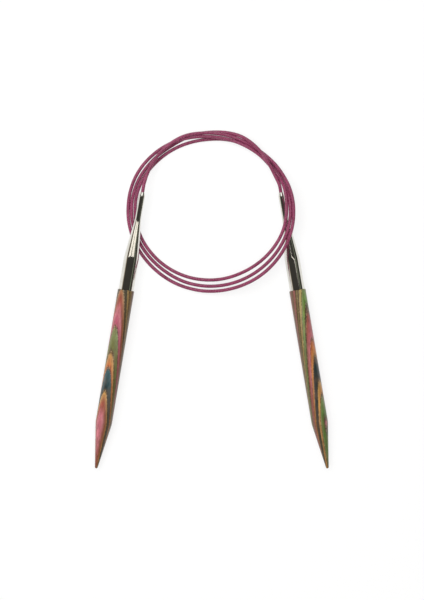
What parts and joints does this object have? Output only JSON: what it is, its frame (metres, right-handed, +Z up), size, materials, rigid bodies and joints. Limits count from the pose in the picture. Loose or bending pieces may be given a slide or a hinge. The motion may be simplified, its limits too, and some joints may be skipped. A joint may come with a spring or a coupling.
{
  "type": "circular knitting needle",
  "caption": "Two pointed laminated-wood needle tips in tapered metal ferrules, joined by a thin flexible cable wound in a ring; for knitting in the round.",
  "frame": {"origin": "on the table, midway between the two needles in X and Y, the cable left out", "axes": "+Y from the points toward the cable, +X to the right needle, +Z up from the table"},
  "size_m": [0.113, 0.1645, 0.0097],
  "materials": {
    "laminated_wood": "polished dyed laminate",
    "ferrule": "polished nickel plate",
    "crimped_sleeve": "plain",
    "cable": "smooth translucent nylon"
  },
  "bodies": {
    "cable": {"cable_coil": "cable", "left_cable_lead": "cable", "right_cable_lead": "cable"},
    "left_cable_end": {"left_cable_end": "cable", "left_cable_stop": "crimped_sleeve"},
    "left_needle": {"left_needle_tip": "laminated_wood", "left_ferrule": "ferrule"},
    "right_cable_end": {"right_cable_end": "cable", "right_cable_stop": "crimped_sleeve"},
    "right_needle": {"right_needle_tip": "laminated_wood", "right_ferrule": "ferrule"}
  },
  "joints": [
    {"name": "left_cable_bend", "type": "hinge", "parent": "cable", "child": "left_cable_end", "pos_m": [-0.03289, 0.06963, 0.00646], "axis": [0, 0, 1], "range_deg": [-25, 15]},
    {"name": "left_needle_turn", "type": "hinge", "parent": "left_cable_end", "child": "left_needle", "pos_m": [-0.03694, 0.04568, 0.00594], "axis": [0.1667, 0.9858, 0.0213], "continuous": true},
    {"name": "right_cable_bend", "type": "hinge", "parent": "cable", "child": "right_cable_end", "pos_m": [0.03289, 0.06966, 0.004], "axis": [0, 0, 1], "range_deg": [-15, 25]},
    {"name": "right_needle_turn", "type": "hinge", "parent": "right_cable_end", "child": "right_needle", "pos_m": [0.03694, 0.0457, 0.004], "axis": [-0.1668, 0.986, 0], "continuous": true}
  ]
}
